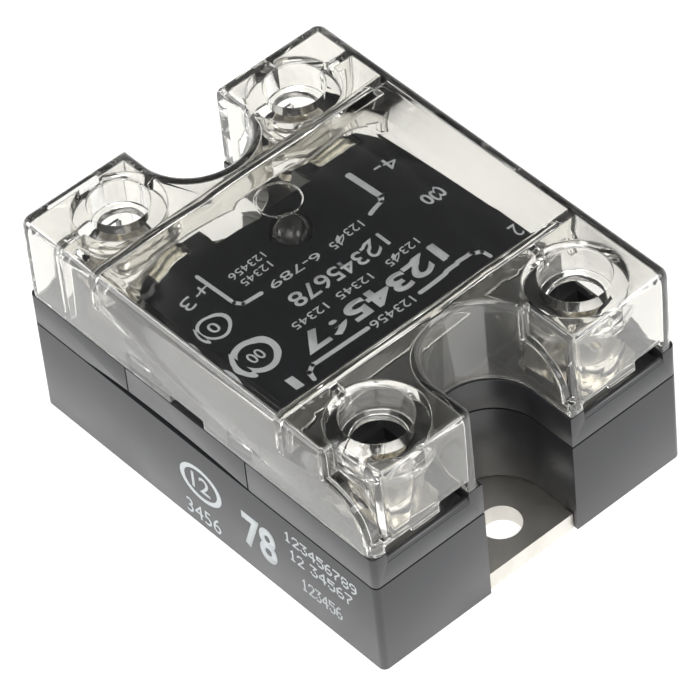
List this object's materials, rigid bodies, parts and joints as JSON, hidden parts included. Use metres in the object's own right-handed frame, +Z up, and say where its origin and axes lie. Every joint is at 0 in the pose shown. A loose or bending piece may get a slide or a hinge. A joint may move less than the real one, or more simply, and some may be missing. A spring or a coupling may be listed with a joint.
{
  "type": "solid state relay",
  "caption": "Panel-mount solid state relay: metal base plate, moulded housing with raised label block, screw clamp terminals and a clear lift-off cover with driver holes.",
  "frame": {"origin": "centre of the base plate's underside, which is the face bolted to a heatsink", "axes": "+X across the relay, +Y along it from the load terminals (-Y end) to the control terminals, +Z up out of the heatsink"},
  "size_m": [0.0452, 0.0584, 0.0301],
  "materials": {
    "plate_metal": "brushed, nickel plated",
    "housing_plastic": "satin moulded",
    "clear_plastic": "clear polycarbonate",
    "label_film": "satin printed film",
    "led_resin": "tinted epoxy, gloss",
    "terminal_metal": "tin plated",
    "screw_steel": "nickel plated",
    "ceramic": "fired alumina ceramic",
    "copper": "bare copper",
    "silicon": "polished silicon",
    "gold_pin": "gold flashed",
    "board": "green solder mask",
    "black_resin": "moulded epoxy",
    "capacitor_resin": "moulded box",
    "varistor_resin": "dipped epoxy",
    "gel": "soft silicone gel"
  },
  "bodies": {
    "housing": {"base_plate": "plate_metal", "lower_housing": "housing_plastic", "upper_housing": "housing_plastic", "label": "label_film", "status_led": "led_resin", "load_terminal_1": "terminal_metal", "load_terminal_2": "terminal_metal", "control_terminal_3": "terminal_metal", "control_terminal_4": "terminal_metal", "load_nuts": "screw_steel", "control_nuts": "screw_steel", "ceramic_substrate": "ceramic", "copper_pads": "copper", "thyristor_chips": "silicon", "chip_clip_1": "copper", "chip_clip_2": "copper", "gate_pins": "gold_pin", "circuit_board": "board", "optocoupler": "black_resin", "chip_resistors": "black_resin", "drive_transistor": "black_resin", "snubber_capacitor": "capacitor_resin", "surge_suppressor": "varistor_resin", "potting_gel": "gel"},
    "cover": {"clear_cover": "clear_plastic"},
    "clamp_1": {"clamp_plate_1": "terminal_metal"},
    "clamp_2": {"clamp_plate_2": "terminal_metal"},
    "clamp_3": {"clamp_plate_3": "terminal_metal"},
    "clamp_4": {"clamp_plate_4": "terminal_metal"},
    "screw_1": {"terminal_screw_1": "screw_steel"},
    "screw_2": {"terminal_screw_2": "screw_steel"},
    "screw_3": {"terminal_screw_3": "screw_steel"},
    "screw_4": {"terminal_screw_4": "screw_steel"}
  },
  "joints": [
    {"name": "cover_lift", "type": "slide", "parent": "housing", "child": "cover", "axis": [0, 0, 1], "range_m": [0, 0.018]},
    {"name": "clamp_lift_1", "type": "slide", "parent": "housing", "child": "clamp_1", "axis": [0, 0, 1], "range_m": [0, 0.0028]},
    {"name": "clamp_lift_2", "type": "slide", "parent": "housing", "child": "clamp_2", "axis": [0, 0, 1], "range_m": [0, 0.0028]},
    {"name": "clamp_lift_3", "type": "slide", "parent": "housing", "child": "clamp_3", "axis": [0, 0, 1], "range_m": [0, 0.0024]},
    {"name": "clamp_lift_4", "type": "slide", "parent": "housing", "child": "clamp_4", "axis": [0, 0, 1], "range_m": [0, 0.0024]},
    {"name": "screw_turn_1", "type": "hinge", "parent": "clamp_1", "child": "screw_1", "pos_m": [-0.0146, -0.0222, 0.02], "axis": [0, 0, 1], "range_deg": [0, 1440]},
    {"name": "screw_turn_2", "type": "hinge", "parent": "clamp_2", "child": "screw_2", "pos_m": [0.0146, -0.0222, 0.02], "axis": [0, 0, 1], "range_deg": [0, 1440]},
    {"name": "screw_turn_3", "type": "hinge", "parent": "clamp_3", "child": "screw_3", "pos_m": [-0.0131, 0.02265, 0.021], "axis": [0, 0, 1], "range_deg": [0, 1440]},
    {"name": "screw_turn_4", "type": "hinge", "parent": "clamp_4", "child": "screw_4", "pos_m": [0.0131, 0.02265, 0.021], "axis": [0, 0, 1], "range_deg": [0, 1440]}
  ],
  "couplings": [
    {"joint": "screw_turn_1", "follows": "clamp_lift_1", "rad_per_m": 8976},
    {"joint": "screw_turn_2", "follows": "clamp_lift_2", "rad_per_m": 8976},
    {"joint": "screw_turn_3", "follows": "clamp_lift_3", "rad_per_m": 10472},
    {"joint": "screw_turn_4", "follows": "clamp_lift_4", "rad_per_m": 10472}
  ]
}
